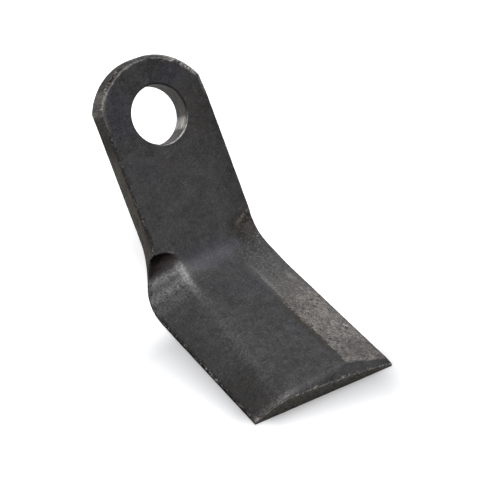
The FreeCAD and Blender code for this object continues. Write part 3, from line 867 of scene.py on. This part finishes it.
def forgedSteel():
    material, bench = newMaterial("forgedSteel")
    skin = Skin(bench)
    for lay in (layScale, layLeftBevel, layRightBevel, layScoops, laySides, layPits, layBright, layBore):
        lay(skin)
    strip, side, bright, bored = skin.strip, skin.side, skin.bright, skin.bored
    metal = (steel["metallic"] + bright * 0.3 + (bored + skin.hollow + skin.endFace + side) * 0.4).least(1.0)
    roughness = (steel["roughness"] + (skin.mottle - 0.5) * 0.3 + strip * 0.12
                 + band(skin.q, 0.0, 7.0) * (1.0 - skin.onLeft) * 0.08 - bright * 0.06
                 + bored * (0.1 + skin.q.rise(48.0, 58.0) * 0.3) + side * 0.3)
    relief = (skin.mottle * 0.5 + skin.grain * (0.36 + (strip + skin.upper * 0.6) * 1.4)
              + skin.fine * (0.36 + strip * 0.6) + skin.along * side * skin.fromEnd.rise(1.0, 3.0) * 1.2)
    bump = bench.add("ShaderNodeBump", {},
                     {"Strength": 1.0, "Distance": steel["bumpDepth"], "Height": relief})
    shader = bench.add("ShaderNodeBsdfPrincipled", {},
                       {"Base Color": skin.colour, "Roughness": roughness, "Metallic": metal,
                        "IOR": steel["ior"], "Normal": bump})
    bench.add("ShaderNodeOutputMaterial", {}, {"Surface": shader})
    print("forged steel", len(bench.tree.nodes), "nodes")
    return material


def makeBlade():
    mesh = makePlate()
    finish = forgedSteel()
    mesh.materials.append(finish)
    carrier = putInScene("bladePlate", mesh)
    tree = forgingTree(finish)
    modifier = carrier.modifiers.new("forging", "NODES")
    modifier.node_group = tree
    for item in tree.interface.items_tree:
        if item.in_out == "INPUT" and item.name in forging:
            modifier[item.identifier] = forging[item.name]
    evaluated = carrier.evaluated_get(bpy.context.evaluated_depsgraph_get())
    shown = bpy.data.meshes.new_from_object(evaluated)
    blade = putInScene("mulcherBlade", shown)
    bpy.data.objects.remove(carrier)
    shown.shade_smooth()
    shown.set_sharp_from_angle(angle=math.radians(50))
    print("blade", len(shown.vertices), "points,", len(shown.polygons), "faces")
    return blade


blade = makeBlade()
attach(blade, "root")
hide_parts("mulcher_blade")


# The studio: a pale floor, a pale sky with a wide soft glow overhead, and one soft lamp at the back.

studio = {
    "floorSize": 3.0,
    "floorColour": (0.8, 0.8, 0.8, 1),
    "floorRoughness": 0.9,
    "floorLift": 0.6,              # how much the floor glows to the camera
    "reflectedLift": 0.12,         # and in reflections
    "contactShade": 0.82,
    "sideReach": (0.6, 27.0, 7.0, 36.0),    # the shade's width: slope, start, least and most
    "endReach": (0.45, 21.0, 7.0, 30.0),
    "white": (1, 1, 1, 1),
    "black": (0, 0, 0, 1),
    "skyColour": (0.97, 0.975, 1.0, 1),
    "skyLow": 0.34,
    "skyHigh": 0.2,
    "skyFrom": 0.05,
    "skyTo": 0.68,
    "glow": 3.3,
    "glowTowards": (0.03, 0.0, 1.0),
    "glowFrom": 0.78,
    "glowFull": 0.95,
}
backLamp = {
    "place": (0.62, 0.5, 0.24),
    "aim": (0.0, 0.0, 0.02),
    "size": 0.34,
    "watts": 0.45,
}


# 1 for rays that show the background itself: to the camera, and off metal or through glass
def shownRays(bench):
    path = bench.outputs("ShaderNodeLightPath")
    camera = path["Is Camera Ray"]
    return camera, camera.most(path["Is Glossy Ray"]).most(path["Is Transmission Ray"])


# a soft contact shade outside the leg's left edge and its end
def contactShade(bench):
    def reach(along, slope, start, least, most):
        return (along * slope + start).within(least, most)

    place = bench.add("ShaderNodeTexCoord", out="Object")
    x, y, z = bench.split(bench.scaled(place, 1 / mm))
    beside = (forging["Left edge x"] - x) / reach(y, *studio["sideReach"])
    beside = beside.fall(-0.5, 1.0) * x.fall(-22.0, -12.0) * y.rise(-38.0, -24.0) * y.fall(10.0, 28.0)
    past = -plate["legLength"] / 2 - x * endSlope - y
    beyond = (past / reach(x, *studio["endReach"])).fall(-0.5, 1.0) * past.rise(-12.0, -6.0)
    beyond = beyond * x.rise(-34.0, -20.0) * x.fall(14.0, 36.0)
    return beside.most(beyond) * studio["contactShade"]


def makeFloor():
    half = studio["floorSize"] / 2
    mesh = bpy.data.meshes.new("floor")
    corners = [(-half, -half, 0), (half, -half, 0), (half, half, 0), (-half, half, 0)]
    mesh.from_pydata(corners, [], [(0, 1, 2, 3)])
    material, bench = newMaterial("paleFloor")
    camera, shown = shownRays(bench)
    lift = shown * studio["reflectedLift"] + camera * (studio["floorLift"] - studio["reflectedLift"])
    contact = contactShade(bench)
    colour = bench.mixColour(contact, studio["floorColour"], studio["black"])
    glowColour = bench.mixColour(contact, studio["white"], studio["black"])
    shader = bench.add("ShaderNodeBsdfPrincipled", {},
                       {"Base Color": colour, "Roughness": studio["floorRoughness"],
                        "Emission Color": glowColour, "Emission Strength": lift})
    bench.add("ShaderNodeOutputMaterial", {}, {"Surface": shader})
    mesh.materials.append(material)
    floor = putInScene("floor", mesh)


def makeSky():
    world = bpy.data.worlds.new("sky")
    world.use_nodes = True
    bench = Bench(world.node_tree)
    camera, shown = shownRays(bench)
    direction = bench.add("ShaderNodeTexCoord", out="Generated")
    height = bench.split(direction)[2]
    low = studio["skyLow"] + shown * (1.0 - studio["skyLow"])
    sky = studio["skyHigh"] + (low - studio["skyHigh"]) * height.fall(studio["skyFrom"], studio["skyTo"])
    towards = bench.vector("DOT_PRODUCT", direction, studio["glowTowards"], out="Value")
    sky = sky + towards.rise(studio["glowFrom"], studio["glowFull"]) * studio["glow"]
    strength = camera + (1.0 - camera) * sky
    colour = bench.mixColour(camera, studio["skyColour"], studio["white"])
    lit = bench.add("ShaderNodeBackground", {}, {"Color": colour, "Strength": strength})
    bench.add("ShaderNodeOutputWorld", {}, {"Surface": lit})
    bpy.context.scene.world = world


def makeLamp():
    data = bpy.data.lights.new("backLamp", "AREA")
    data.shape = "SQUARE"
    data.size = backLamp["size"]
    data.energy = backLamp["watts"]
    lamp = putInScene("backLamp", data)
    lamp.location = backLamp["place"]
    away = Vector(backLamp["aim"]) - Vector(backLamp["place"])
    lamp.rotation_euler = away.to_track_quat("-Z", "Y").to_euler()


camera = {
    "place": (-0.210063, -0.256898, 0.342908),
    "right": (0.81112, -0.58408, 0.03061),
    "down": (-0.37579, -0.56054, -0.73796),
    "sensor": 36,
    "focalPixels": 1420,
    "framePixels": 480,
    "nearest": 0.01,
}


def makeCamera():
    data = bpy.data.cameras.new("camera")
    data.sensor_width = camera["sensor"]
    data.lens = camera["focalPixels"] / camera["framePixels"] * camera["sensor"]
    data.clip_start = camera["nearest"]
    item = putInScene("camera", data)
    right = Vector(camera["right"]).normalized()
    up = -Vector(camera["down"])
    up = (up - right * up.dot(right)).normalized()
    turned = Matrix((right, up, right.cross(up))).transposed().to_4x4()
    turned.translation = Vector(camera["place"])
    item.matrix_world = turned
    bpy.context.scene.camera = item


makeFloor()
makeSky()
makeLamp()
makeCamera()
bpy.context.scene.view_settings.view_transform = "Standard"
print("studio ready")
